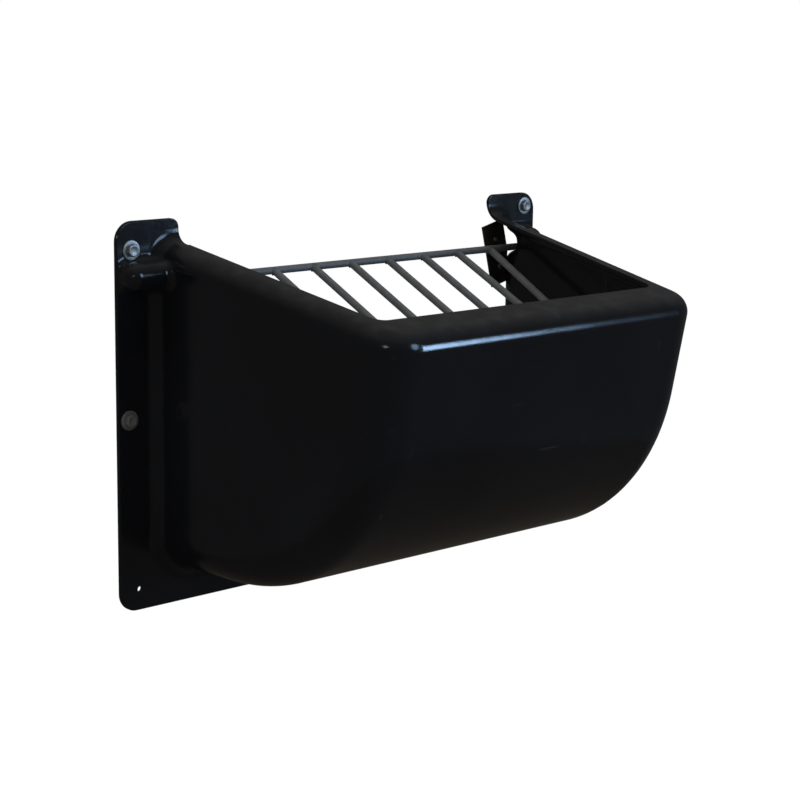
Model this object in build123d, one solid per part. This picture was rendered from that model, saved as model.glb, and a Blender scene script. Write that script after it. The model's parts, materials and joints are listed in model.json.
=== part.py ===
from build123d import *
import os
from math import cos, radians, sin, sqrt, tan

# Wall-mounted hay manger: a moulded black plastic tub that is open at the back and
# at the top, with a galvanised grate hinged behind its mouth.
# Millimetres. The wall is the plane Y = 0, the tub points along -Y and Z is up.
# Heights are measured from the flange's bottom edge while the pieces are built, and
# every piece is then lowered so that the line of the two top bolts lies at Z = 0.

# Flange against the wall
FLANGE_W = 886.0
FLANGE_H = 600.0
SKIN = 6.0
FLANGE_CORNER_R = 30.0
FLANGE_EDGE = 1.5
FLANGE_ROOT_R = 22.0
FLANGE_FLARE_R = 34.0
FLANGE_SIDE = 71.0
EAR_H = 33.0
EAR_CORNER_R = 14.0

# Tub
TUB_W = FLANGE_W - 2 * FLANGE_SIDE
TUB_TAPER = 5.6
TUB_REACH = 492.0
ROOF_H = FLANGE_H - EAR_H
ROOF_SLOPE = 10.43
FRONT_LEAN = 11.8
FLOOR_H = 54.0
BELLY_R = 338.0
SIDE_ROUND_R = 60.0
ROOF_ROUND_R = 29.0
LIP_SIDE = 42.0
LIP_FRONT = 75.0
LIP_CORNER_R = 20.0

# Channels for the rail's ends, pressed into both sides of the flange
CHANNEL_DROP = 49.0
CHANNEL_H = ROOF_H - CHANNEL_DROP
CHANNEL_R = 22.0
CHANNEL_LEG = 20.0
CHANNEL_END_GAP = 3.0
CHANNEL_END_R = 20.0
CHANNEL_ROOT_R = 12.0

# Grate
RAIL_D = 12.0
BAR_D = 12.0
BAR_COUNT = 9
BAR_LIP_GAP = 3.7
FRONT_LIP_GAP = 16.0
GRATE_DROP = 25.4
RUNNING_GAP = 0.3
RAIL_END_GAP = 4.0
RAIL_NEST = 3.0
RAIL_DEPTH = CHANNEL_LEG + RAIL_NEST
GRATE_REACH = TUB_REACH - LIP_FRONT - RAIL_DEPTH - BAR_D / 2 - FRONT_LIP_GAP

# Bolts into wall anchors, and the two lower fixing holes
TOP_BOLT_INSET = 26.0
TOP_BOLT_X = FLANGE_W / 2 - TOP_BOLT_INSET
TOP_BOLT_H = ROOF_H
TOP_BOLT_STEP = 10.0
MID_BOLT_INSET = 19.5
MID_BOLT_X = FLANGE_W / 2 - MID_BOLT_INSET
MID_BOLT_H = FLANGE_H / 2
LOW_HOLE_INSET = 35.5
LOW_HOLE_X = FLANGE_W / 2 - LOW_HOLE_INSET
LOW_HOLE_H = 33.3
LOW_HOLE_D = 9.0
BOLT_D = 10.0
BOLT_HOLE_D = 11.0
BOLT_L = 25.0
SHANK_D = 9.0
BOLT_CHAMFER = 1.2
HEAD_AF = 17.0
HEAD_H = 6.4
HEAD_CHAMFER = 1.0
WASHER_D = 30.0
WASHER_T = 2.5
SEAT_D = 32.0

# Guard strips on the wall behind the rail's ends
GUARD_W = 50.0
GUARD_L = 110.0
GUARD_T = 3.0
GUARD_TILT = 14.3
GUARD_INSET = 15.0
GUARD_X = TUB_W / 2 - GUARD_INSET
GUARD_DROP = 21.0
GUARD_H = CHANNEL_H - GUARD_DROP
GUARD_GAP = 0.3
GUARD_SCREW_D = 4.5
GUARD_HOLE_D = 5.0
GUARD_HEAD_D = 9.0
GUARD_HEAD_H = 2.6
GUARD_HEAD_EDGE = 1.0
GUARD_SCREW_L = 18.0
GUARD_SCREW_PITCH = 50.0

BACK = 60.0
TOUCH = 0.01

OUT = "parts"
os.makedirs(OUT, exist_ok=True)


def save(name, shape):
    """Lower a finished piece to the part's frame and write it."""
    export_step(Pos(0, 0, -TOP_BOLT_H) * shape, f"{OUT}/{name}.step")


def roof_height(y):
    """The height of the tub's sloping roof at a Y."""
    return ROOF_H + y * tan(radians(ROOF_SLOPE))


def side_outline(inset, rear):
    """The tub's side view, inset by a wall, as a face in the YZ plane."""
    lean, slope = radians(FRONT_LEAN), radians(ROOF_SLOPE)
    # The belly's arc touches the floor and the leaning front, which ends in the roof's corner.
    belly_h = FLOOR_H + BELLY_R
    rise = roof_height(-TUB_REACH) - belly_h
    belly_y = (BELLY_R + rise * sin(lean)) / cos(lean) - TUB_REACH

    def on_belly(angle):
        """A point of the belly's arc, from the front at 0 to straight down at 90 degrees."""
        radius = BELLY_R - inset
        return (belly_y - radius * cos(angle), belly_h - radius * sin(angle))

    down = radians(90)
    front_foot, floor = on_belly(lean), on_belly(down)
    # The roof and the front meet where both lines, each inset by the wall, cross.
    sunk = inset / cos(slope)
    run = ROOF_H - sunk - front_foot[1]
    corner_y = (front_foot[0] - run * tan(lean)) / (1 + tan(slope) * tan(lean))
    corner = (corner_y, roof_height(corner_y) - sunk)
    roof_end = (rear, roof_height(rear) - sunk)
    floor_end = (rear, floor[1])
    with BuildSketch(Plane.YZ) as face:
        with BuildLine():
            Polyline(floor, floor_end, roof_end, corner, front_foot)
            ThreePointArc(front_foot, on_belly((lean + down) / 2), floor)
        make_face()
    return face.sketch


def plan_outline(inset, front, rear):
    """The tub's tapered plan, inset by a wall, from a front Y to a rear Y."""
    grow = tan(radians(TUB_TAPER))
    half = TUB_W / 2 - inset / cos(radians(TUB_TAPER))
    half_front = half + front * grow
    half_rear = half + rear * grow
    front_line = [(-half_front, front), (half_front, front)]
    rear_line = [(half_rear, rear), (-half_rear, rear)]
    with BuildSketch(Plane.XY) as face:
        with BuildLine():
            Polyline(*front_line, *rear_line, close=True)
        make_face()
    return face.sketch


def tub_solid(inset, rear):
    """The tub as one rounded block, inset by a wall."""
    width = extrude(side_outline(inset, rear), TUB_W, both=True)
    plan = extrude(plan_outline(inset, -TUB_REACH - BACK, rear), FLANGE_H + BACK)
    block = width & plan
    sides = [block.faces().sort_by(Axis.X)[0], block.faces().sort_by(Axis.X)[-1]]
    roof = block.faces().sort_by(Axis.Z)[-1]
    roof_edges = [edge.center() for edge in roof.edges()]
    rolled = []
    for side in sides:
        for edge in side.edges():
            on_roof = min((edge.center() - other).length for other in roof_edges) < SKIN / 10
            at_rear = abs(edge.center().Y - rear) < SKIN / 10
            if not on_roof and not at_rear:
                rolled.append(edge)
    block = fillet(rolled, SIDE_ROUND_R - inset)
    roof = block.faces().sort_by(Axis.Z)[-1]
    rim = [edge for edge in roof.edges() if abs(edge.center().Y - rear) > SKIN / 10]
    return fillet(rim, ROOF_ROUND_R - inset)


def flange_plate():
    """The flat flange plate behind the tub, before its middle is opened."""
    with BuildPart() as plate:
        with BuildSketch(Plane.XZ):
            with Locations((0, FLANGE_H / 2)):
                RectangleRounded(FLANGE_W, FLANGE_H, FLANGE_CORNER_R)
        extrude(amount=SKIN)
        chamfer(plate.faces().sort_by(Axis.Y)[0].edges(), FLANGE_EDGE)
    return plate.part


def channel(radius, inner_x, outer_x):
    """A U-shaped run along +X for a rail's end, open towards the wall."""
    with BuildSketch(Plane.YZ.offset(inner_x)) as section:
        with Locations((-CHANNEL_LEG, CHANNEL_H)):
            Circle(radius)
        with Locations(((BACK - CHANNEL_LEG) / 2, CHANNEL_H)):
            Rectangle(BACK + CHANNEL_LEG, 2 * radius)
    return extrude(section.sketch, outer_x - inner_x)


def both_sides(shape):
    """A shape and its mirror image on the other side of the tub."""
    return [shape, mirror(shape, Plane.YZ)]


def wall_hole(x, height, diameter):
    """A cutter through the flange, square to the wall."""
    return Pos(x, 0, height) * Rot(90, 0, 0) * Cylinder(diameter / 2, 4 * SKIN)


def washer_seat(x, height):
    """A cutter that keeps the flange's front flat under a washer."""
    return Pos(x, -SKIN - BACK / 2, height) * Rot(90, 0, 0) * Cylinder(SEAT_D / 2, BACK)


def mouth_half(depth):
    """Half the mouth's width at a depth in front of the wall."""
    return TUB_W / 2 - LIP_SIDE - depth * tan(radians(TUB_TAPER))


def mouth_cutter():
    """The block that opens the roof, with rounded front corners."""
    front = TUB_REACH - LIP_FRONT
    front_line = [(-mouth_half(front), -front), (mouth_half(front), -front)]
    rear_line = [(mouth_half(-BACK), BACK), (-mouth_half(-BACK), BACK)]
    with BuildPart() as cutter:
        with BuildSketch(Plane.XY.offset(roof_height(-TUB_REACH) - ROOF_ROUND_R)) as plan:
            with BuildLine():
                Polyline(*front_line, *rear_line, close=True)
            make_face()
            fillet(plan.vertices().sort_by(Axis.Y)[:2], LIP_CORNER_R)
        extrude(amount=FLANGE_H)
    return cutter.part


def ear_notch():
    """The cutter between the two ears, with their rounded inner corners."""
    half = mouth_half(0)
    foot = ROOF_H - FLANGE_ROOT_R
    middle = Pos(0, 0, (foot + FLANGE_H + BACK) / 2) * Box(2 * half, BACK, FLANGE_H + BACK - foot)
    corner = Pos(half, 0, FLANGE_H - EAR_CORNER_R / 2)
    block = corner * Pos(EAR_CORNER_R / 2, 0, 0) * Box(EAR_CORNER_R, BACK, EAR_CORNER_R)
    centre = Pos(half + EAR_CORNER_R, 0, FLANGE_H - EAR_CORNER_R)
    round_off = centre * Rot(90, 0, 0) * Cylinder(EAR_CORNER_R, BACK)
    return [middle] + both_sides(block - round_off)


# Where each wall bolt sits: node name ending, X and height. The top left bolt sits lower.
WALL_BOLTS = (
    ("top_left", -TOP_BOLT_X, TOP_BOLT_H - TOP_BOLT_STEP),
    ("top_right", TOP_BOLT_X, TOP_BOLT_H + TOP_BOLT_STEP),
    ("mid_left", -MID_BOLT_X, MID_BOLT_H),
    ("mid_right", MID_BOLT_X, MID_BOLT_H),
)


def rim_at(shape, y):
    """The edges round the tub's open back that lie at one Y."""
    return [
        edge
        for edge in shape.edges().filter_by_position(Axis.Y, y, y)
        if abs(edge.center().X) < TUB_W / 2 + SKIN and SKIN < edge.center().Z < ROOF_H + SKIN
    ]


def channel_boss():
    """The rounded bulge on the flange's front that holds one rail end, on the right."""
    boss = channel(CHANNEL_R, TUB_W / 2 - SKIN, FLANGE_W / 2 - CHANNEL_END_GAP)
    boss = boss - Pos(0, FLANGE_H / 2, CHANNEL_H) * Box(2 * FLANGE_W, FLANGE_H, FLANGE_H)
    end = boss.faces().sort_by(Axis.X)[-1]
    return fillet([edge for edge in end.edges() if edge.center().Y < -SKIN / 10], CHANNEL_END_R)


def seam(whole, first, second):
    """The edges of a fused or cut shape in front of the wall where two solids' skins meet."""

    def lies_on(edge, solid):
        """Whether the middle of an edge lies on a solid's skin."""
        return min(face.distance_to(edge.center()) for face in solid.faces()) < TOUCH

    front = [edge for edge in whole.edges() if edge.center().Y < -TOUCH]
    return [edge for edge in front if lies_on(edge, second) and lies_on(edge, first)]


def manger_shell():
    """The moulded tub and flange in one skin, with its mouth, channels and holes."""
    shell = tub_solid(0, 0) + flange_plate()
    shell = fillet(rim_at(shell, -SKIN), FLANGE_ROOT_R)
    for boss in both_sides(channel_boss()):
        fused = shell + boss
        shell = fillet(seam(fused, shell, boss), CHANNEL_ROOT_R)
    shell = shell - tub_solid(SKIN, BACK)
    shell = fillet(rim_at(shell, 0), FLANGE_FLARE_R)
    end = FLANGE_W / 2 - CHANNEL_END_GAP - SKIN
    for pocket in both_sides(channel(CHANNEL_R - SKIN, TUB_W / 2 - LIP_SIDE, end)):
        opened = shell - pocket
        shell = fillet(seam(opened, shell, pocket), CHANNEL_ROOT_R + SKIN)
    shell = shell - ear_notch() - mouth_cutter()
    seats = [washer_seat(x, height) for _, x, height in WALL_BOLTS]
    holes = [wall_hole(x, height, BOLT_HOLE_D) for _, x, height in WALL_BOLTS]
    low_holes = both_sides(wall_hole(LOW_HOLE_X, LOW_HOLE_H, LOW_HOLE_D))
    return shell - seats - holes - low_holes


def rail_place():
    """Where the rail lies: on the rounded floor of its two channels."""
    play = CHANNEL_R - SKIN - RAIL_D / 2 - RUNNING_GAP
    return (-RAIL_DEPTH, CHANNEL_H - sqrt(play**2 - RAIL_NEST**2))


def along_x(length, diameter):
    """A round rod along X, centred on the origin."""
    return Rot(0, 90, 0) * Cylinder(diameter / 2, length)


def grate_pieces():
    """The rail, the bars and the front rod, at rest, by node name."""
    lean = tan(radians(TUB_TAPER))
    rail_half = FLANGE_W / 2 - CHANNEL_END_GAP - SKIN - RAIL_END_GAP
    bar_half = mouth_half(RAIL_DEPTH) - BAR_LIP_GAP - BAR_D / 2
    front_half = bar_half - GRATE_REACH * lean + BAR_D / 2
    rail = along_x(2 * rail_half, RAIL_D)
    front = Pos(0, -GRATE_REACH, 0) * along_x(2 * front_half, BAR_D)
    pieces = {"grate_rail": rail, "grate_front_rod": front}
    pitch = 2 * bar_half / (BAR_COUNT - 1)
    for index in range(BAR_COUNT):
        x = index * pitch - bar_half
        # The two outer bars run parallel to the tub's tapered sides, so that they clear the lip.
        at_side = index in (0, BAR_COUNT - 1)
        turn = -TUB_TAPER * x / abs(x) if at_side else 0
        length = GRATE_REACH / cos(radians(turn))
        bar = Pos(0, -length / 2, 0) * Rot(90, 0, 0) * Cylinder(BAR_D / 2, length)
        bar = Pos(x, 0, 0) * Rot(0, 0, turn) * bar
        pieces[f"grate_bar_{index + 1}"] = bar - rail - front
    rail_y, rail_z = rail_place()
    at_rest = Pos(0, rail_y, rail_z) * Rot(GRATE_DROP, 0, 0)
    return {name: at_rest * piece for name, piece in pieces.items()}


def wall_bolt():
    """A hex-head bolt along +Y, with its head's seat at Y = 0 and a thinner plain shank.

    The thread's full diameter starts behind the flange, where the wall anchor holds it.
    """
    with BuildPart() as bolt:
        with BuildSketch(Plane.XZ):
            RegularPolygon(HEAD_AF / 2, 6, major_radius=False)
        extrude(amount=HEAD_H)
        chamfer(bolt.faces().sort_by(Axis.Y)[0].edges(), HEAD_CHAMFER)
        with BuildSketch(Plane.XZ):
            Circle(SHANK_D / 2)
        extrude(amount=-BOLT_L)
        with BuildSketch(Plane.XZ.offset(-WASHER_T - SKIN)):
            Circle(BOLT_D / 2)
        extrude(amount=WASHER_T + SKIN - BOLT_L)
        chamfer(bolt.faces().sort_by(Axis.Y)[-1].edges(), BOLT_CHAMFER)
    return bolt.part


def washer():
    """A large flat washer along Y, with its rear face at Y = 0."""
    with BuildPart() as ring:
        with BuildSketch(Plane.XZ):
            Circle(WASHER_D / 2)
            Circle(BOLT_HOLE_D / 2, mode=Mode.SUBTRACT)
        extrude(amount=WASHER_T)
    return ring.part


def flare_x(depth):
    """Half the width of the tub's flared rear opening at a depth in front of the wall."""
    taper = radians(TUB_TAPER)
    centre = TUB_W / 2 - (SKIN - FLANGE_FLARE_R) / cos(taper) - FLANGE_FLARE_R * tan(taper)
    return centre - sqrt(FLANGE_FLARE_R**2 - (FLANGE_FLARE_R - depth) ** 2)


def guard_place():
    """The tilted frame of the guard strip on the right, on the wall."""
    return Pos(GUARD_X, -GUARD_GAP, GUARD_H) * Rot(0, -GUARD_TILT, 0)


def guard_screws():
    """Where the guard strip's two screws stand, along its length."""
    return [guard_place() * Pos(0, 0, side * GUARD_SCREW_PITCH / 2) for side in (-1, 1)]


def guard_strip():
    """The strip behind the rail's right end, trimmed to the tub's rear opening."""
    strip = guard_place() * Pos(0, -GUARD_T / 2, 0) * Box(GUARD_W, GUARD_T, GUARD_L)
    limit = flare_x(GUARD_T + GUARD_GAP) - GUARD_GAP
    strip = strip - Pos(limit + GUARD_L / 2, 0, GUARD_H) * Box(GUARD_L, GUARD_L, 2 * GUARD_L)
    drill = Rot(90, 0, 0) * Cylinder(GUARD_HOLE_D / 2, 4 * GUARD_T)
    return strip - [place * drill for place in guard_screws()]


def guard_screw():
    """A pan-head screw along +Y, with its head's seat at Y = 0."""
    with BuildPart() as screw:
        with BuildSketch(Plane.XZ):
            Circle(GUARD_HEAD_D / 2)
        extrude(amount=GUARD_HEAD_H)
        chamfer(screw.faces().sort_by(Axis.Y)[0].edges(), GUARD_HEAD_EDGE)
        with BuildSketch(Plane.XZ):
            Circle(GUARD_SCREW_D / 2)
        extrude(amount=-GUARD_SCREW_L)
    return screw.part


shell = manger_shell()
save("manger_shell", shell)
for name, piece in grate_pieces().items():
    save(name, piece)
for ending, x, height in WALL_BOLTS:
    save(f"wall_bolt_{ending}", Pos(x, -SKIN - WASHER_T, height) * wall_bolt())
    save(f"washer_{ending}", Pos(x, -SKIN, height) * washer())
screws = Compound([place * Pos(0, -GUARD_T, 0) * guard_screw() for place in guard_screws()])
strips = both_sides(guard_strip())
pairs = both_sides(screws)
for index, side in enumerate(("right", "left")):
    save(f"rail_guard_{side}", strips[index])
    save(f"guard_screws_{side}", pairs[index])
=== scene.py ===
"""Looks of a wall-mounted hay manger: a moulded tub, a hinged grate and its fixings."""

import json
import logging
import math
from collections.abc import Iterable, Mapping, Sequence
from dataclasses import dataclass
from enum import Enum
from typing import Any

import bmesh
import bpy
from mathutils import Euler, Matrix, Vector

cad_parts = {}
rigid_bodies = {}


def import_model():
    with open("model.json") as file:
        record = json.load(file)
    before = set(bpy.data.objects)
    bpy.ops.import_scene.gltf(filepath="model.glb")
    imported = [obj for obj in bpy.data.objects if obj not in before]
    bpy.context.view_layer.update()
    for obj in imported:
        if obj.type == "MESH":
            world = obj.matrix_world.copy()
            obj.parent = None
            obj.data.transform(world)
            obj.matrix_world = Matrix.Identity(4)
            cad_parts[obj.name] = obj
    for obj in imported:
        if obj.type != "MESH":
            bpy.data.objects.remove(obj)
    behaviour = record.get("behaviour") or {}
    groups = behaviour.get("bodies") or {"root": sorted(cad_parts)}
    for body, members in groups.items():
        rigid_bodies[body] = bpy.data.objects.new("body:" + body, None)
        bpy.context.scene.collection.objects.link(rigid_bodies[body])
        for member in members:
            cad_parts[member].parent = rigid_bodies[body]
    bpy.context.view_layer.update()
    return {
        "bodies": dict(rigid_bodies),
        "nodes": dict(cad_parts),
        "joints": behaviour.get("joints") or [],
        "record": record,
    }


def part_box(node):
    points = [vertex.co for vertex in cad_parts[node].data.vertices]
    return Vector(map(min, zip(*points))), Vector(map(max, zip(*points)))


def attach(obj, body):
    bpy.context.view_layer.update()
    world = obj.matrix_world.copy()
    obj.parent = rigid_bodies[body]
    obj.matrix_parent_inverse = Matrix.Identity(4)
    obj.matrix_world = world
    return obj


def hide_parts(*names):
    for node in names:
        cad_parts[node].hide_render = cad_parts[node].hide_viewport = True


log = logging.getLogger("manger")

Colour = tuple[float, float, float]
Place = tuple[float, float, float]

# The colour of the daylight lamps
DAYLIGHT: Colour = (0.42, 0.66, 1.0)

# The radius of a ring that closes to a pole, in metres
POLE = 1e-5


class Body(Enum):
    """The two bodies of the manger that pieces ride on."""

    MANGER = "manger"
    GRATE = "grate"


class Slot(Enum):
    """The material slots of the manger's record."""

    TUB = "black_polyethylene"
    RODS = "galvanised_steel"
    FIXINGS = "zinc_plated_steel"
    GUARDS = "black_guard_plastic"


class Signal:
    """A node's output socket with arithmetic, so that a pattern reads as an expression."""

    def __init__(self, sheet: "Sheet", socket: bpy.types.NodeSocket) -> None:
        """Wrap a socket of a sheet's tree."""
        self.sheet = sheet
        self.socket = socket

    def other(self, name: str | int) -> "Signal":
        """Another output of the same node."""
        return Signal(self.sheet, self.socket.node.outputs[name])

    def _math(self, operation: str, *values: "Signal | float") -> "Signal":
        """One Math node on numbers or signals, in their order."""
        return self.sheet.node(
            "ShaderNodeMath", {"operation": operation}, dict(enumerate(values))
        )

    def __add__(self, other: "Signal | float") -> "Signal":
        """Sum."""
        return self._math("ADD", self, other)

    def __radd__(self, other: float) -> "Signal":
        """Sum, with the number first."""
        return self._math("ADD", other, self)

    def __sub__(self, other: "Signal | float") -> "Signal":
        """Difference."""
        return self._math("SUBTRACT", self, other)

    def __rsub__(self, other: float) -> "Signal":
        """Difference, with the number first."""
        return self._math("SUBTRACT", other, self)

    def __mul__(self, other: "Signal | float") -> "Signal":
        """Product."""
        return self._math("MULTIPLY", self, other)

    def __rmul__(self, other: float) -> "Signal":
        """Product, with the number first."""
        return self._math("MULTIPLY", other, self)

    def peak(self, other: "Signal | float") -> "Signal":
        """The larger of two values."""
        return self._math("MAXIMUM", self, other)

    def ramp(self, low: float, high: float) -> "Signal":
        """A smooth step.

        Args:
            low: The value that becomes 0.
            high: The value that becomes 1; it may be below low.

        Returns:
            The step, between 0 and 1.
        """
        return self.sheet.node(
            "ShaderNodeMapRange",
            {"interpolation_type": "SMOOTHSTEP", "clamp": True},
            {0: self, 1: low, 2: high, 3: 0.0, 4: 1.0},
        )


class Sheet:
    """Writes a node tree. Every node is added by one method."""

    def __init__(self, tree: bpy.types.NodeTree) -> None:
        """Take an empty node tree."""
        self.tree = tree

    def node(
        self,
        kind: str,
        settings: Mapping[str, Any] | None = None,
        sockets: Mapping[str | int, Any] | None = None,
        output: str | int = 0,
    ) -> Signal:
        """Add a node.

        Args:
            kind: The node's type.
            settings: Its settings, which are set first.
            sockets: Values or signals for its inputs, by name or place.
            output: The output that is wanted.

        Returns:
            That output.
        """
        made = self.tree.nodes.new(kind)
        for name, value in (settings or {}).items():
            setattr(made, name, value)
        for key, value in (sockets or {}).items():
            if isinstance(value, Signal):
                self.tree.links.new(value.socket, made.inputs[key])
            else:
                made.inputs[key].default_value = value
        return Signal(self, made.outputs[output] if len(made.outputs) else made.inputs[0])


class FinishSheet(Sheet):
    """The shader tree of one finish, with the patterns that the finishes share."""

    def __init__(self, name: str) -> None:
        """Start a new material's tree.

        Args:
            name: The material's name.
        """
        self.material = bpy.data.materials.new(name)
        self.material.use_nodes = True
        self.material.node_tree.nodes.clear()
        super().__init__(self.material.node_tree)
        self.place = self.node("ShaderNodeTexCoord", output="Object")

    def noise(self, scale: float, detail: float = 2.0, at: Signal | None = None) -> Signal:
        """Fractal noise between 0 and 1, with a scale in waves per metre."""
        sockets = {"Vector": at or self.place, "Scale": scale, "Detail": detail}
        return self.node("ShaderNodeTexNoise", sockets=sockets)

    def stretched(self, scale: Sequence[float], turn: Sequence[float] = (0, 0, 0)) -> Signal:
        """Object coordinates stretched and turned, for a pattern with a grain.

        Args:
            scale: The factor along each axis.
            turn: The Euler angles of the grain.

        Returns:
            The coordinates.
        """
        sockets = {"Vector": self.place, "Scale": scale, "Rotation": turn}
        return self.node("ShaderNodeMapping", sockets=sockets)

    def cells(self, scale: float, at: Signal | None = None) -> Signal:
        """Voronoi cells; the distance is the first output and the cell's colour the second."""
        sockets = {"Vector": at or self.place, "Scale": scale}
        return self.node("ShaderNodeTexVoronoi", sockets=sockets)

    def grey(self, colour: Signal) -> Signal:
        """One channel of a colour, as a number."""
        return self.node("ShaderNodeSeparateColor", sockets={0: colour})

    def blend(
        self, share: Signal | float, first: Colour | Signal, second: Colour | Signal
    ) -> Signal:
        """Mix two colours.

        Args:
            share: The second colour's share.
            first: The colour at 0.
            second: The colour at 1.

        Returns:
            The mixed colour.
        """
        ends = [c if isinstance(c, Signal) else (*c, 1.0) for c in (first, second)]
        return self.node(
            "ShaderNodeMix", {"data_type": "RGBA"}, {0: share, 6: ends[0], 7: ends[1]}, 2
        )

    def facing_up(self) -> Signal:
        """How far a surface faces up, from -1 to 1."""
        normal = self.node("ShaderNodeNewGeometry", output="Normal")
        return self.node("ShaderNodeSeparateXYZ", sockets={0: normal}, output="Z")

    def relief(self, heights: Iterable[tuple[Signal, float]], edge: float) -> Signal:
        """Stack bumps on a softly rounded edge.

        Args:
            heights: Pairs of a height pattern and its depth in metres.
            edge: The radius of the rounded edges in metres, or 0.

        Returns:
            The normal.
        """
        normal = None
        if edge:
            normal = self.node("ShaderNodeBevel", {"samples": 6}, {"Radius": edge})
        for height, depth in heights:
            sockets = {"Height": height, "Distance": depth, "Strength": 1.0}
            if normal:
                sockets["Normal"] = normal
            normal = self.node("ShaderNodeBump", sockets=sockets)
        return normal

    def finish(self, sockets: Mapping[str, Any]) -> bpy.types.Material:
        """End the tree with a Principled shader.

        Args:
            sockets: The shader's values and signals.

        Returns:
            The material.
        """
        shader = self.node("ShaderNodeBsdfPrincipled", sockets=sockets)
        self.node("ShaderNodeOutputMaterial", sockets={"Surface": shader})
        return self.material


@dataclass(frozen=True)
class MouldedBlack:
    """Satin black moulded plastic with flow mottling, fine grain, scuffs and dust.

    Attributes:
        name: The material's name.
        base: The plastic's colour.
        dust: The colour of the dust on what faces up.
        scuff: The colour of its scuffs.
        dusting: The largest share of dust on what faces up.
        gloss: The specular level.
        rough: The roughness of clean plastic.
        depths: The depths of the ripple, the mottling and the grain in metres.
        edge: The radius of the rounded edges in metres.
    """

    name: str = "moulded_black"
    base: Colour = (0.0034, 0.0036, 0.0043)
    dust: Colour = (0.046, 0.043, 0.040)
    scuff: Colour = (0.026, 0.027, 0.029)
    dusting: float = 0.32
    gloss: float = 0.45
    rough: float = 0.14
    depths: tuple[float, float, float] = (0.0004, 0.00012, 0.00003)
    edge: float = 0.0016

    def make(self) -> bpy.types.Material:
        """Build the material.

        Returns:
            The material.
        """
        s = FinishSheet(self.name)
        flow = s.noise(5.0, 3.0)
        blotch = s.noise(38.0, 4.0)
        grain = s.noise(1400.0, 2.0)
        ripple = s.noise(17.0, 1.5, s.stretched((1.0, 1.0, 0.45)))
        up = s.facing_up().ramp(0.35, 1.0)
        dusty = up * (0.45 + 0.55 * blotch.ramp(0.4, 0.68)) * self.dusting
        streaks = s.noise(60.0, 5.0, s.stretched((1.0, 1.0, 0.09), (0.06, 0.1, 0.0)))
        rubs = s.noise(70.0, 4.0, s.stretched((0.1, 1.0, 1.0), (0.0, 0.25, 0.1)))
        scratched = streaks.ramp(0.67, 0.74).peak(rubs.ramp(0.68, 0.75)) * flow.ramp(0.42, 0.62)
        specks = s.cells(95.0).ramp(0.075, 0.03) * blotch.ramp(0.5, 0.62)
        colour = s.blend(flow.ramp(0.3, 0.7), self.base, tuple(1.35 * c for c in self.base))
        colour = s.blend(dusty, colour, self.dust)
        colour = s.blend((scratched * 0.35).peak(specks * 0.3), colour, self.scuff)
        rough = self.rough + 0.07 * (blotch - 0.5) + 0.16 * scratched + 0.12 * dusty
        normal = s.relief(zip((ripple, blotch, grain), self.depths), self.edge)
        return s.finish(
            {
                "Base Color": colour,
                "Roughness": rough,
                "Specular IOR Level": self.gloss,
                "Normal": normal,
            }
        )


@dataclass(frozen=True)
class Galvanised:
    """Hot-dip galvanised steel with soft spangle, dull patches and small runs.

    Attributes:
        name: The material's name.
        light: The colour of a bright crystal.
        dark: The colour of a dull crystal.
        chalk: The colour of the dry white bloom.
        grime: The colour of the dirt patches.
        gloss: The specular level.
        rough: The mean roughness.
        depths: The depths of the runs, the crystals and the grain in metres.
    """

    name: str = "galvanised"
    light: Colour = (0.110, 0.111, 0.112)
    dark: Colour = (0.092, 0.093, 0.094)
    chalk: Colour = (0.118, 0.119, 0.119)
    grime: Colour = (0.11, 0.105, 0.09)
    gloss: float = 0.3
    rough: float = 0.56
    depths: tuple[float, float, float] = (0.00008, 0.000004, 0.000008)

    def make(self) -> bpy.types.Material:
        """Build the material.

        Returns:
            The material.
        """
        s = FinishSheet(self.name)
        warp = s.noise(120.0, 2.0)
        crystal = s.grey(s.cells(170.0).other(1))
        cloud = s.noise(22.0, 4.0)
        bloom = s.noise(46.0, 5.0).ramp(0.52, 0.7)
        dirt = s.noise(30.0, 6.0).ramp(0.6, 0.78)
        runs = s.noise(75.0, 2.0, s.stretched((1.0, 0.35, 1.0)))
        grain = s.noise(900.0, 3.0)
        tone = crystal * 0.45 + cloud * 0.4 + warp * 0.15
        colour = s.blend(tone.ramp(0.2, 0.8), self.dark, self.light)
        colour = s.blend(bloom * 0.35, colour, self.chalk)
        colour = s.blend(dirt * 0.15, colour, self.grime)
        rough = self.rough + 0.05 * (crystal - 0.5) + 0.12 * bloom + 0.1 * dirt
        normal = s.relief(zip((runs, crystal, grain), self.depths), 0.0)
        return s.finish(
            {
                "Base Color": colour,
                "Metallic": 0.15 - 0.05 * bloom,
                "Roughness": rough,
                "Specular IOR Level": self.gloss,
                "Normal": normal,
            }
        )


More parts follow.
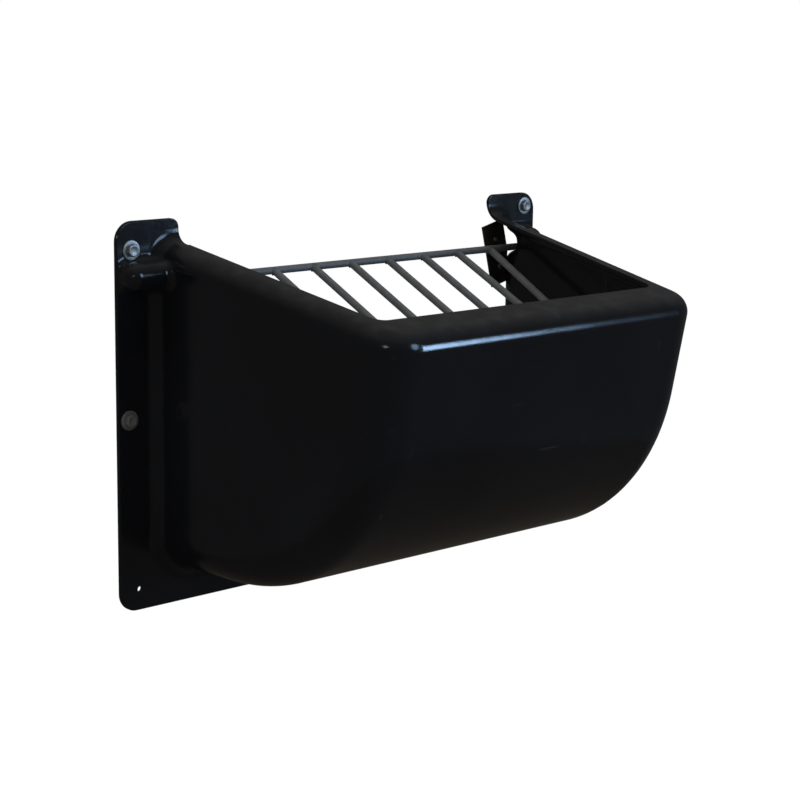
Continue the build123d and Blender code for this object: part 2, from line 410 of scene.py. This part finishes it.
@dataclass(frozen=True)
class ZincPlate:
    """Bright zinc plating with a faint passivation tint, tool marks and dulled edges.

    Attributes:
        name: The material's name.
        cool: The plating's bluish tint.
        warm: The plating's yellowish tint.
        dull: The colour of worn plating.
        rough: The mean roughness.
        depths: The depths of the tool marks and the pits in metres.
        edge: The radius of the rounded edges in metres.
    """

    name: str = "zinc_plate"
    cool: Colour = (0.28, 0.275, 0.27)
    warm: Colour = (0.30, 0.285, 0.255)
    dull: Colour = (0.14, 0.135, 0.125)
    rough: float = 0.42
    depths: tuple[float, float] = (0.00004, 0.00005)
    edge: float = 0.0003

    def make(self) -> bpy.types.Material:
        """Build the material.

        Returns:
            The material.
        """
        s = FinishSheet(self.name)
        tint = s.noise(60.0, 2.0)
        wear = s.noise(210.0, 5.0).ramp(0.55, 0.72)
        pits = s.cells(700.0).ramp(0.16, 0.06)
        marks = s.noise(500.0, 2.0, s.stretched((1.0, 0.1, 1.0)))
        colour = s.blend(tint.ramp(0.35, 0.65), self.cool, self.warm)
        colour = s.blend((wear * 0.45).peak(pits * 0.4), colour, self.dull)
        normal = s.relief(zip((marks, pits), self.depths), self.edge)
        return s.finish(
            {
                "Base Color": colour,
                "Metallic": 0.85 - 0.2 * wear,
                "Roughness": self.rough + 0.2 * wear + 0.08 * (marks - 0.5),
                "Normal": normal,
            }
        )


@dataclass(frozen=True)
class MatteStrip:
    """Dull brown-black strip plastic with long extrusion lines and dust.

    Attributes:
        name: The material's name.
        base: The strip's colour.
        dust: The colour of its dust.
        gloss: The specular level.
        rough: The mean roughness.
        depths: The depths of the extrusion lines and the film in metres.
        edge: The radius of the rounded edges in metres.
    """

    name: str = "matte_strip"
    base: Colour = (0.020, 0.015, 0.012)
    dust: Colour = (0.06, 0.05, 0.042)
    gloss: float = 0.3
    rough: float = 0.6
    depths: tuple[float, float] = (0.00012, 0.0001)
    edge: float = 0.0006

    def make(self) -> bpy.types.Material:
        """Build the material.

        Returns:
            The material.
        """
        s = FinishSheet(self.name)
        lines = s.noise(420.0, 3.0, s.stretched((1.0, 1.0, 0.03)))
        film = s.noise(55.0, 5.0)
        colour = s.blend(film.ramp(0.45, 0.75) * 0.5, self.base, self.dust)
        normal = s.relief(zip((lines, film), self.depths), self.edge)
        return s.finish(
            {
                "Base Color": colour,
                "Roughness": self.rough + 0.15 * (film - 0.5),
                "Specular IOR Level": self.gloss,
                "Normal": normal,
            }
        )


def new_piece(name: str, mesh: bpy.types.Mesh) -> bpy.types.Object:
    """Put a mesh in the scene as an object at the origin.

    Args:
        name: The object's name.
        mesh: Its mesh.

    Returns:
        The object.
    """
    piece = bpy.data.objects.new(name, mesh)
    bpy.context.scene.collection.objects.link(piece)
    return piece


def mesh_of(name: str, form: bmesh.types.BMesh, crease: float = 32.0) -> bpy.types.Mesh:
    """Turn a form into a smooth mesh with sharp creases.

    Args:
        name: The mesh's name.
        form: The form, which is freed.
        crease: The angle in degrees above which an edge stays sharp.

    Returns:
        The mesh.
    """
    bmesh.ops.remove_doubles(form, verts=form.verts, dist=1e-7)
    bmesh.ops.recalc_face_normals(form, faces=form.faces)
    mesh = bpy.data.meshes.new(name)
    form.to_mesh(mesh)
    form.free()
    mesh.polygons.foreach_set("use_smooth", [True] * len(mesh.polygons))
    mesh.set_sharp_from_angle(angle=math.radians(crease))
    return mesh


def skin_rings(form: bmesh.types.BMesh, rings: Sequence[Sequence[Vector]]) -> None:
    """Skin a row of equally divided rings and close both ends.

    Args:
        form: The form to add to.
        rings: The rings' points; a ring of one repeated point closes to a pole.
    """
    rows = [[form.verts.new(point) for point in ring] for ring in rings]
    count = len(rows[0])
    for lower, upper in zip(rows, rows[1:]):
        for i in range(count):
            j = (i + 1) % count
            form.faces.new((lower[i], lower[j], upper[j], upper[i]))
    form.faces.new(list(reversed(rows[0])))
    form.faces.new(rows[-1])


def ring(radius: float, height: float, count: int) -> list[Vector]:
    """Place a round ring about Z.

    Args:
        radius: Its radius.
        height: Its height.
        count: How many points it has.

    Returns:
        The points.
    """
    turn = 2 * math.pi / count
    angles = [i * turn for i in range(count)]
    return [Vector((radius * math.cos(a), radius * math.sin(a), height)) for a in angles]


@dataclass(frozen=True)
class Stand:
    """Where one copy of a repeated piece stands.

    Attributes:
        place: The copy's origin in metres.
        aim: Its Euler angles.
    """

    place: Vector
    aim: Euler


@dataclass
class Copies:
    """Sets copies of one pattern piece on stands, with a Geometry Nodes tree.

    Attributes:
        name: The name of the finished piece.
        unevenness: How far the surface is pushed in or out, in metres.
        wave: The scale of that unevenness in waves per metre.
        spin: The largest random turn of a copy about its own Z, in radians.
        seed: The seed of the turns and the unevenness.
    """

    name: str
    unevenness: float = 0.0
    wave: float = 200.0
    spin: float = 0.0
    seed: int = 1

    def _tree(self) -> tuple[bpy.types.NodeTree, dict[str, str]]:
        """Build the tree.

        Returns:
            The tree and its inputs' identifiers by name.
        """
        tree = bpy.data.node_groups.new(self.name + "_copies", "GeometryNodeTree")
        wanted = {
            "Stands": "NodeSocketGeometry",
            "Pattern": "NodeSocketObject",
            "Unevenness": "NodeSocketFloat",
            "Wave": "NodeSocketFloat",
            "Spin": "NodeSocketFloat",
            "Seed": "NodeSocketInt",
            "Finish": "NodeSocketMaterial",
        }
        face = tree.interface
        known = {
            name: face.new_socket(name=name, in_out="INPUT", socket_type=kind).identifier
            for name, kind in wanted.items()
        }
        face.new_socket(name="Copies", in_out="OUTPUT", socket_type="NodeSocketGeometry")
        g = Sheet(tree)
        given = g.node("NodeGroupInput")
        pattern = g.node(
            "GeometryNodeObjectInfo", sockets={"Object": given.other("Pattern")}, output="Geometry"
        )
        aim = g.node(
            "GeometryNodeInputNamedAttribute", {"data_type": "FLOAT_VECTOR"}, {"Name": "aim"}
        )
        copies = g.node(
            "GeometryNodeInstanceOnPoints",
            sockets={
                "Points": given.other("Stands"),
                "Instance": pattern,
                "Rotation": g.node("FunctionNodeEulerToRotation", sockets={0: aim}),
            },
        )
        turn = g.node(
            "FunctionNodeRandomValue",
            {"data_type": "FLOAT"},
            {2: 0.0, 3: given.other("Spin"), "Seed": given.other("Seed")},
            1,
        )
        angle = g.node(
            "FunctionNodeEulerToRotation",
            sockets={0: g.node("ShaderNodeCombineXYZ", sockets={"Z": turn})},
        )
        turned = g.node(
            "GeometryNodeRotateInstances",
            sockets={"Instances": copies, "Rotation": angle, "Local Space": True},
        )
        solid = g.node("GeometryNodeRealizeInstances", sockets={"Geometry": turned})
        rough = g.node(
            "ShaderNodeTexNoise",
            {"noise_dimensions": "4D"},
            {
                "Vector": g.node("GeometryNodeInputPosition"),
                "W": given.other("Seed"),
                "Scale": given.other("Wave"),
            },
        )
        push = (rough - 0.5) * given.other("Unevenness")
        offset = g.node(
            "ShaderNodeVectorMath",
            {"operation": "SCALE"},
            {0: g.node("GeometryNodeInputNormal"), "Scale": push},
        )
        uneven = g.node("GeometryNodeSetPosition", sockets={"Geometry": solid, "Offset": offset})
        dressed = g.node(
            "GeometryNodeSetMaterial",
            sockets={"Geometry": uneven, "Material": given.other("Finish")},
        )
        g.node("NodeGroupOutput", sockets={"Copies": dressed})
        return tree, known

    def build(
        self, pattern: bpy.types.Mesh, stands: Sequence[Stand], finish: bpy.types.Material
    ) -> bpy.types.Object:
        """Set the copies and bake them to one plain mesh.

        Args:
            pattern: The mesh that is repeated.
            stands: Where its copies stand.
            finish: Their material.

        Returns:
            The finished piece.
        """
        tree, known = self._tree()
        points = bpy.data.meshes.new(self.name + "_stands")
        points.from_pydata([stand.place for stand in stands], [], [])
        aims = points.attributes.new("aim", "FLOAT_VECTOR", "POINT")
        aims.data.foreach_set("vector", [angle for stand in stands for angle in stand.aim])
        carrier = new_piece(self.name + "_carrier", points)
        source = new_piece(self.name + "_pattern", pattern)
        modifier = carrier.modifiers.new("copies", "NODES")
        modifier.node_group = tree
        values = {
            "Pattern": source,
            "Unevenness": self.unevenness,
            "Wave": self.wave,
            "Spin": self.spin,
            "Seed": self.seed,
            "Finish": finish,
        }
        for name, value in values.items():
            modifier[known[name]] = value
        evaluated = carrier.evaluated_get(bpy.context.evaluated_depsgraph_get())
        baked = bpy.data.meshes.new_from_object(evaluated)
        baked.name = self.name
        for spent in (carrier, source):
            bpy.data.objects.remove(spent)
        return new_piece(self.name, baked)


def dress_node(frame: Mapping[str, Any], node: str, finish: bpy.types.Material) -> None:
    """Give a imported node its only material.

    Args:
        frame: The loaded frame.
        node: The node's name.
        finish: The material.
    """
    shape = frame["nodes"][node]
    shape.data.materials.clear()
    shape.data.materials.append(finish)


def centre_of(node: str) -> Vector:
    """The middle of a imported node's box."""
    low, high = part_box(node)
    return (low + high) / 2


def settle(
    piece: bpy.types.Object, body: Body, replaced: Sequence[str] = ()
) -> None:
    """Tie a finished piece to its body and the nodes that it stands for.

    Args:
        piece: The finished piece.
        body: The body that it rides on.
        replaced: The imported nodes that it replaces.
    """
    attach(piece, body.value)
    if replaced:
        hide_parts(*replaced)
    log.info("%s rides on %s, %d faces", piece.name, body.value, len(piece.data.polygons))


@dataclass
class MangerTub:
    """The moulded tub and its flange.

    Attributes:
        node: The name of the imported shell.
    """

    node: str = "manger_shell"

    def dress(self, frame: Mapping[str, Any], finish: bpy.types.Material) -> None:
        """Give the shell its material.

        Args:
            frame: The loaded frame.
            finish: The tub's plastic.
        """
        dress_node(frame, self.node, finish)


@dataclass
class HayGrate:
    """The hinged grate: its packed rods and the weld beads where they meet.

    Attributes:
        bars: How many bars run from the rail to the front rod.
        rod_radius: The radius of every rod in metres.
        bead_radius: The radius of a weld bead in metres.
        bead_sink: How far a bead's middle lies inside the bar's surface, in metres.
        bead_gap: The bead's least distance from the rod's axis, as a share of its radius.
        around: The divisions round a joint.
        across: The divisions round a bead.
    """

    bars: int = 9
    rod_radius: float = 0.006
    bead_radius: float = 0.0021
    bead_sink: float = 0.0003
    bead_gap: float = 0.35
    around: int = 36
    across: int = 8

    def bead(self) -> bpy.types.Mesh:
        """Build a saddle-shaped bead where a bar along -Z butts against a rod along X.

        Returns:
            The mesh.
        """
        form = bmesh.new()
        rows = []
        for i in range(self.around):
            angle = 2 * math.pi * i / self.around
            out = Vector((math.cos(angle), math.sin(angle), 0.0))
            reach = self.rod_radius * abs(math.cos(angle))
            reach = (reach**2 + (self.bead_gap * self.rod_radius) ** 2) ** 0.5
            middle = out * (self.rod_radius - self.bead_sink) - Vector((0, 0, reach))
            row = []
            for k in range(self.across):
                lean = 2 * math.pi * k / self.across
                side = out * math.cos(lean) + Vector((0, 0, math.sin(lean)))
                row.append(form.verts.new(middle + side * self.bead_radius))
            rows.append(row)
        for i, row in enumerate(rows):
            after = rows[(i + 1) % self.around]
            for k in range(self.across):
                j = (k + 1) % self.across
                form.faces.new((row[k], row[j], after[j], after[k]))
        return mesh_of("weld_bead", form, crease=80.0)

    def joints(self, frame: Mapping[str, Any]) -> list[Stand]:
        """Where the beads stand, from the boxes of the rods.

        Args:
            frame: The loaded frame.

        Returns:
            A stand for both ends of each bar.
        """
        rail = centre_of("grate_rail")
        front = centre_of("grate_front_rod")
        stands = []
        for index in range(self.bars):
            near, far = self.bar_ends(frame, f"grate_bar_{index + 1}", rail, front)
            for at, to in ((near, far), (far, near)):
                aim = (at - to).to_track_quat("Z", "Y").to_euler()
                stands.append(Stand(at, aim))
        return stands

    def bar_ends(
        self, frame: Mapping[str, Any], node: str, rail: Vector, front: Vector
    ) -> tuple[Vector, Vector]:
        """Where a bar's line meets the lines of the rail and the front rod.

        Args:
            frame: The loaded frame.
            node: The bar's node.
            rail: A point of the rail's line.
            front: A point of the front rod's line.

        Returns:
            The bar's two ends.
        """
        points = [vertex.co.copy() for vertex in frame["nodes"][node].data.vertices]
        along = (front - rail).normalized()
        share = [(point - rail).dot(along) for point in points]
        middle = (min(share) + max(share)) / 2
        ends = []
        for keep in (True, False):
            group = [p.x for p, s in zip(points, share) if (s < middle) == keep]
            ends.append((min(group) + max(group)) / 2)
        near = Vector((ends[0], rail.y, rail.z))
        far = Vector((ends[1], front.y, front.z))
        return near, far

    def dress(self, frame: Mapping[str, Any], finish: bpy.types.Material) -> None:
        """Give the rods their material and add the weld beads.

        Args:
            frame: The loaded frame.
            finish: The galvanised steel.
        """
        rods = ["grate_rail", "grate_front_rod"]
        rods += [f"grate_bar_{index + 1}" for index in range(self.bars)]
        for node in rods:
            dress_node(frame, node, finish)
        copies = Copies("weld_beads", unevenness=0.0016, wave=260.0, seed=7)
        beads = copies.build(self.bead(), self.joints(frame), finish)
        settle(beads, Body.GRATE)


@dataclass
class WallBolts:
    """The four bolts through the flange, with their washers.

    Attributes:
        endings: The endings of the nodes' names.
        flats: The head's width across its flats.
        head: The head's height.
        crown: The crown's radius as a share of half the flats.
        chamfer: The slope of the head's chamfer in degrees.
        dish: The depth of the shallow dish in the crown.
        dish_floor: The dish's inner radius as a share of the crown's.
        dish_rim: The dish's outer radius as a share of the crown's.
        collar: The height of the round seat under the head.
        collar_share: The seat's radius as a share of half the flats.
        shank: The diameter of the plain shank.
        thread: The thread's outer diameter.
        pitch: The thread's pitch.
        thread_depth: The thread's depth as a share of its pitch.
        thread_steps: The rings for each turn of the thread.
        tip: The tip's radius as a share of the thread's.
        tip_length: The length of the tapered tip, in pitches.
        washer_bore: The radius of a washer's bore.
        washer_edge: The roll of a washer's rim.
        around: The divisions round a bolt.
    """

    endings: tuple[str, ...] = ("top_left", "top_right", "mid_left", "mid_right")
    flats: float = 0.017
    head: float = 0.0064
    crown: float = 0.93
    chamfer: float = 28.0
    dish: float = 0.00035
    dish_floor: float = 0.72
    dish_rim: float = 0.8
    collar: float = 0.0005
    collar_share: float = 0.96
    shank: float = 0.009
    thread: float = 0.010
    pitch: float = 0.0015
    thread_depth: float = 0.56
    thread_steps: int = 6
    tip: float = 0.72
    tip_length: float = 1.2
    washer_bore: float = 0.0055
    washer_edge: float = 0.0007
    around: int = 48

    def head_rings(self) -> list[list[Vector]]:
        """Place the rings of a hexagon head about Z, from its crown to its seat at 0.

        Returns:
            The rings.
        """
        flat = self.flats / 2
        crown = flat * self.crown
        corners, skirt = [], []
        for i in range(self.around):
            angle = 2 * math.pi * i / self.around
            sector = (angle + math.pi / 6) % (math.pi / 3) - math.pi / 6
            reach = flat / math.cos(sector)
            fall = (reach - crown) * math.tan(math.radians(self.chamfer))
            out = Vector((math.cos(angle), math.sin(angle), 0.0)) * reach
            corners.append(out + Vector((0, 0, self.head - fall)))
            skirt.append(out + Vector((0, 0, self.collar)))
        dish = [
            ring(POLE, self.head - self.dish, self.around),
            ring(crown * self.dish_floor, self.head - self.dish, self.around),
            ring(crown * self.dish_rim, self.head, self.around),
        ]
        seat = [ring(flat * self.collar_share, z, self.around) for z in (self.collar, 0.0)]
        return [*dish, ring(crown, self.head, self.around), corners, skirt, *seat]

    def shank_rings(self, grip: float, length: float) -> list[list[Vector]]:
        """Place the rings of the shank and its thread, below the seat.

        Args:
            grip: The length of the plain shank.
            length: The whole length below the seat.

        Returns:
            The rings.
        """
        plain = self.shank / 2
        rings = [ring(plain, 0.0, self.around), ring(plain, -grip, self.around)]
        threaded = length - grip
        depth = self.thread_depth * self.pitch
        count = int(threaded / self.pitch * self.thread_steps)
        for k in range(count + 1):
            drop = threaded * k / count
            left = (threaded - drop) / (self.tip_length * self.pitch)
            taper = min(1.0, self.tip + (1.0 - self.tip) * left)
            row = []
            for i, point in enumerate(ring(1.0, 0.0, self.around)):
                phase = (drop / self.pitch + i / self.around) % 1.0
                radius = (self.thread / 2 - depth * abs(2 * phase - 1.0)) * taper
                row.append(Vector((point.x * radius, point.y * radius, -grip - drop)))
            rings.append(row)
        return rings

    def bolt(self, grip: float, length: float) -> bpy.types.Mesh:
        """Build one bolt with its seat at 0 and its head towards +Z.

        Args:
            grip: The length of the plain shank.
            length: The whole length below the seat.

        Returns:
            The mesh.
        """
        form = bmesh.new()
        skin_rings(form, self.head_rings() + self.shank_rings(grip, length))
        return mesh_of("bolt_pattern", form, crease=34.0)

    def washer(self, radius: float, thick: float) -> bpy.types.Mesh:
        """Build one washer with its rear face at 0 and stamped, rolled rims.

        Each point of the outline keeps a share of the roll from the sharp corner.

        Args:
            radius: Its outer radius.
            thick: Its thickness.

        Returns:
            The mesh.
        """
        form = bmesh.new()
        bore, roll = self.washer_bore, self.washer_edge
        outline = [
            (bore, roll * 0.5),
            (bore, thick - roll),
            (bore + 0.3 * roll, thick - 0.3 * roll),
            (bore + roll, thick),
            (radius - 1.6 * roll, thick),
            (radius - 0.5 * roll, thick - 0.25 * roll),
            (radius, thick - 1.1 * roll),
            (radius, roll * 0.3),
            (radius - roll * 0.3, 0.0),
            (bore + roll * 0.5, 0.0),
        ]
        rows = [[form.verts.new(p) for p in ring(r, z, self.around)] for r, z in outline]
        for lower, upper in zip(rows, rows[1:] + rows[:1]):
            for i in range(self.around):
                j = (i + 1) % self.around
                form.faces.new((lower[i], lower[j], upper[j], upper[i]))
        return mesh_of("washer_pattern", form, crease=40.0)

    def dress(self, finish: bpy.types.Material) -> None:
        """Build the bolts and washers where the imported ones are.

        Args:
            finish: The zinc plating.
        """
        aim = Euler((math.pi / 2, 0.0, 0.0))
        washers, bolts = [], []
        for ending in self.endings:
            low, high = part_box("washer_" + ending)
            middle = (low + high) / 2
            washers.append(Stand(Vector((middle.x, high.y, middle.z)), aim))
            bolts.append(Stand(Vector((middle.x, low.y, middle.z)), aim))
        low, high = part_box("washer_top_left")
        bolt_low, bolt_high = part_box("wall_bolt_top_left")
        pattern = self.bolt(-low.y, bolt_high.y - low.y)
        made = Copies("wall_bolts", spin=math.pi / 3, seed=4).build(pattern, bolts, finish)
        settle(made, Body.MANGER, ["wall_bolt_" + e for e in self.endings])
        pattern = self.washer((high.x - low.x) / 2, high.y - low.y)
        made = Copies("wall_washers", spin=math.pi, seed=5).build(pattern, washers, finish)
        settle(made, Body.MANGER, ["washer_" + e for e in self.endings])


@dataclass
class RailGuards:
    """The strips behind the rail's ends and their pan-head screws.

    Attributes:
        sides: The two sides, as the nodes' names end.
        head_radius: A screw head's radius.
        head: A screw head's height.
        dome: The radii of the head's rings, as shares of the head's radius.
        droop: How far the dome falls towards its rim, as a share of its height.
        brim: The height of the rim, as a share of the head's.
        recess: Half the length of the cross recess.
        recess_width: Half the width of its arms.
        recess_depth: Its depth in the middle.
        recess_step: Its depth at the ends of its arms.
        shank: A screw's shank radius.
        pitch: The thread's pitch.
        thread_depth: The thread's depth.
        thread_rings: The rings of the thread.
        point: The tip's radius, as a share of the shank's.
        point_length: The length in which the shank would taper to nothing.
        spin: The largest random turn of a screw, in radians.
        around: The divisions round a screw.
    """

    sides: tuple[str, str] = ("right", "left")
    head_radius: float = 0.0045
    head: float = 0.0026
    dome: tuple[float, ...] = (0.002, 0.12, 0.24, 0.36, 0.5, 0.65, 0.8, 0.92)
    droop: float = 0.55
    brim: float = 0.4
    recess: float = 0.0023
    recess_width: float = 0.00055
    recess_depth: float = 0.0012
    recess_step: float = 0.0002
    shank: float = 0.00225
    pitch: float = 0.0018
    thread_depth: float = 0.0007
    thread_rings: int = 60
    point: float = 0.15
    point_length: float = 0.005
    spin: float = 1.3
    around: int = 48

    def head_rings(self) -> list[list[Vector]]:
        """Place the rings of the domed head, from its middle to its seat at 0.

        Returns:
            The rings.
        """
        rings = []
        for share in self.dome:
            rise = self.head * (1 - self.droop * share**4)
            rings.append(ring(self.head_radius * share, rise, self.around))
        for point in (point for row in rings for point in row):
            arm, reach = sorted((abs(point.x), abs(point.y)))
            if arm < self.recess_width and reach < self.recess:
                point.z -= self.recess_depth * (1 - reach / self.recess) + self.recess_step
        rims = [ring(self.head_radius, z, self.around) for z in (self.head * self.brim, 0.0)]
        return rings + rims

    def shank_rings(self, length: float) -> list[list[Vector]]:
        """Place the rings of the threaded shank, below the seat.

        Args:
            length: Its length.

        Returns:
            The rings.
        """
        rings = [ring(self.shank, 0.0, self.around)]
        for k in range(self.thread_rings + 1):
            drop = length * k / self.thread_rings
            taper = min(1.0, self.point + (length - drop) / self.point_length)
            row = []
            for i, point in enumerate(ring(1.0, 0.0, self.around)):
                phase = (drop / self.pitch + i / self.around) % 1.0
                radius = (self.shank - self.thread_depth * abs(2 * phase - 1.0)) * taper
                row.append(Vector((point.x * radius, point.y * radius, -drop)))
            rings.append(row)
        return rings

    def screw(self, length: float) -> bpy.types.Mesh:
        """Build one screw with its seat at 0, its head towards +Z and a cross recess.

        Args:
            length: Its length below the seat.

        Returns:
            The mesh.
        """
        form = bmesh.new()
        skin_rings(form, self.head_rings() + self.shank_rings(length))
        return mesh_of("screw_pattern", form, crease=38.0)

    def stands(self, frame: Mapping[str, Any]) -> tuple[list[Stand], float]:
        """Where the screws stand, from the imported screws.

        Args:
            frame: The loaded frame.

        Returns:
            The stands, and a screw's length below its seat.
        """
        aim = Euler((math.pi / 2, 0.0, 0.0))
        stands, length = [], 0.0
        for side in self.sides:
            points = [v.co for v in frame["nodes"]["guard_screws_" + side].data.vertices]
            middle = (min(p.z for p in points) + max(p.z for p in points)) / 2
            low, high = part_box("guard_screws_" + side)
            length = high.y - low.y - self.head
            for upper in (True, False):
                group = [p for p in points if (p.z > middle) == upper]
                x = (min(p.x for p in group) + max(p.x for p in group)) / 2
                z = (min(p.z for p in group) + max(p.z for p in group)) / 2
                stands.append(Stand(Vector((x, low.y + self.head, z)), aim))
        return stands, length

    def dress(
        self, frame: Mapping[str, Any], strip: bpy.types.Material, plate: bpy.types.Material
    ) -> None:
        """Give the strips their material and build their screws.

        Args:
            frame: The loaded frame.
            strip: The strips' plastic.
            plate: The screws' plating.
        """
        for side in self.sides:
            dress_node(frame, "rail_guard_" + side, strip)
        stands, length = self.stands(frame)
        copies = Copies("strip_screws", spin=self.spin, seed=11)
        made = copies.build(self.screw(length), stands, plate)
        settle(made, Body.MANGER, ["guard_screws_" + side for side in self.sides])


@dataclass(frozen=True)
class Lamp:
    """One soft lamp.

    Attributes:
        name: The lamp's name.
        place: Where it stands, in metres.
        target: The point that it faces.
        size: Its width and height in metres.
        power: Its power in watts.
        colour: Its colour.
    """

    name: str
    place: Place
    target: Place
    size: tuple[float, float]
    power: float
    colour: Colour = (1.0, 1.0, 1.0)


@dataclass
class Studio:
    """The camera, the soft lamps, the pale floor and the room's light.

    Attributes:
        eye: The camera's place in metres.
        across: The direction of the picture's width.
        upward: The direction of the picture's height.
        lens: The focal length on a 36 mm sensor.
        floor_drop: The floor's height.
        floor_radius: The floor's radius.
        floor_colour: The floor's colour.
        floor_glow: The strength that makes the floor white to the camera.
        floor_sheen: The strength of the floor as gloss reflects it.
        floor_tint: The colour of the floor as gloss reflects it.
        room: The strength of the room's light near the floor.
        sheen: The strength of the room near the floor as gloss reflects it.
        overhead: The share that both of them gain overhead.
        horizon: The height of a direction, as a sine, above which they gain.
        lamps: The soft lamps.
    """

    eye: Place = (-2.08206, -2.41812, 0.34606)
    across: Place = (0.73908333, -0.67346374, 0.01422725)
    upward: Place = (0.12085587, 0.15335048, 0.98075353)
    lens: float = 88.576
    floor_drop: float = -1.05
    floor_radius: float = 1.35
    floor_colour: Colour = (0.82, 0.82, 0.82)
    floor_glow: float = 0.62
    floor_sheen: float = 0.045
    floor_tint: Colour = (1.0, 0.86, 0.68)
    room: float = 0.5
    sheen: float = 0.06
    overhead: float = 1.2
    horizon: float = 0.15
    lamps: tuple[Lamp, ...] = (
        Lamp("key", (6.49, -7.85, 1.1), (-0.28, -0.49, -0.2), (0.8, 3.8), 275.0, DAYLIGHT),
        Lamp("window", (0.8, -3.38, 1.1), (-0.3, -0.45, -0.2), (1.1, 1.6), 30.0, DAYLIGHT),
        Lamp("ceiling", (-2.25, -1.45, 0.7), (-0.3, -0.45, -0.2), (0.45, 0.35), 2.2),
    )

    def camera(self) -> None:
        """Set the camera where the photograph was taken."""
        data = bpy.data.cameras.new("camera")
        data.sensor_fit = "HORIZONTAL"
        data.sensor_width = 36.0
        data.lens = self.lens
        data.clip_start, data.clip_end = 0.05, 100.0
        camera = bpy.data.objects.new("camera", data)
        bpy.context.scene.collection.objects.link(camera)
        right, up = Vector(self.across), Vector(self.upward)
        turn = Matrix((right, up, right.cross(up))).transposed()
        camera.matrix_world = Matrix.Translation(self.eye) @ turn.to_4x4()
        bpy.context.scene.camera = camera

    def light(self) -> None:
        """Hang the lamps, out of the camera's sight."""
        for lamp in self.lamps:
            data = bpy.data.lights.new(lamp.name, "AREA")
            data.shape = "ELLIPSE"
            data.size, data.size_y = lamp.size
            data.energy = lamp.power
            data.color = lamp.colour
            hung = bpy.data.objects.new(lamp.name, data)
            bpy.context.scene.collection.objects.link(hung)
            hung.location = lamp.place
            away = Vector(lamp.place) - Vector(lamp.target)
            hung.rotation_euler = away.to_track_quat("Z", "Y").to_euler()
            hung.visible_camera = False

    def surround(self) -> None:
        """Make the room: white to the camera, dim to the object and lighter overhead."""
        world = bpy.data.worlds.new("room")
        world.use_nodes = True
        world.node_tree.nodes.clear()
        w = Sheet(world.node_tree)
        path = w.node("ShaderNodeLightPath")
        seen = path.peak(path.other("Is Transmission Ray"))
        gloss = path.other("Is Glossy Ray")
        direction = w.node("ShaderNodeTexCoord", output="Generated")
        height = w.node("ShaderNodeSeparateXYZ", sockets={0: direction}, output="Z")
        even = gloss * self.sheen + (1.0 - gloss) * self.room
        rise = 1.0 + self.overhead * height.ramp(self.horizon, 1.0)
        strength = seen + (1.0 - seen) * even * rise
        glow = w.node(
            "ShaderNodeBackground", sockets={"Color": (1.0, 1.0, 1.0, 1.0), "Strength": strength}
        )
        w.node("ShaderNodeOutputWorld", sockets={"Surface": glow})
        bpy.context.scene.world = world

    def floor(self) -> None:
        """Lay the pale floor, which keeps the object's shadow."""
        form = bmesh.new()
        bmesh.ops.create_circle(form, cap_ends=True, segments=96, radius=self.floor_radius)
        bmesh.ops.translate(form, verts=form.verts, vec=(0.0, 0.0, self.floor_drop))
        mesh = bpy.data.meshes.new("floor")
        form.to_mesh(mesh)
        form.free()
        floor = new_piece("floor", mesh)
        s = FinishSheet("pale_floor")
        path = s.node("ShaderNodeLightPath")
        seen = path.peak(path.other("Is Transmission Ray"))
        matt = s.node("ShaderNodeBsdfDiffuse", sockets={"Color": (*self.floor_colour, 1.0)})
        glow = s.node("ShaderNodeEmission", sockets={"Strength": seen * self.floor_glow})
        both = s.node("ShaderNodeAddShader", sockets={0: matt, 1: glow})
        reflected = {"Color": (*self.floor_tint, 1.0), "Strength": self.floor_sheen}
        dim = s.node("ShaderNodeEmission", sockets=reflected)
        gloss = path.other("Is Glossy Ray")
        shown = s.node("ShaderNodeMixShader", sockets={0: gloss, 1: both, 2: dim})
        s.node("ShaderNodeOutputMaterial", sockets={"Surface": shown})
        mesh.materials.append(s.material)

    def build(self) -> None:
        """Set up the whole studio."""
        self.camera()
        self.light()
        self.surround()
        self.floor()
        bpy.context.scene.view_settings.view_transform = "Standard"


def clear_scene() -> None:
    """Remove whatever the start-up file holds."""
    for thing in list(bpy.data.objects):
        bpy.data.objects.remove(thing)


def main() -> None:
    """Load the frame, build every sub-assembly and set up the studio."""
    logging.basicConfig(level=logging.INFO, format="%(name)s: %(message)s")
    clear_scene()
    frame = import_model()
    galvanised = Galvanised().make()
    plate = ZincPlate().make()
    MangerTub().dress(frame, MouldedBlack().make())
    HayGrate().dress(frame, galvanised)
    WallBolts().dress(plate)
    RailGuards().dress(frame, MatteStrip().make(), plate)
    Studio().build()


if __name__ == "__main__":
    main()
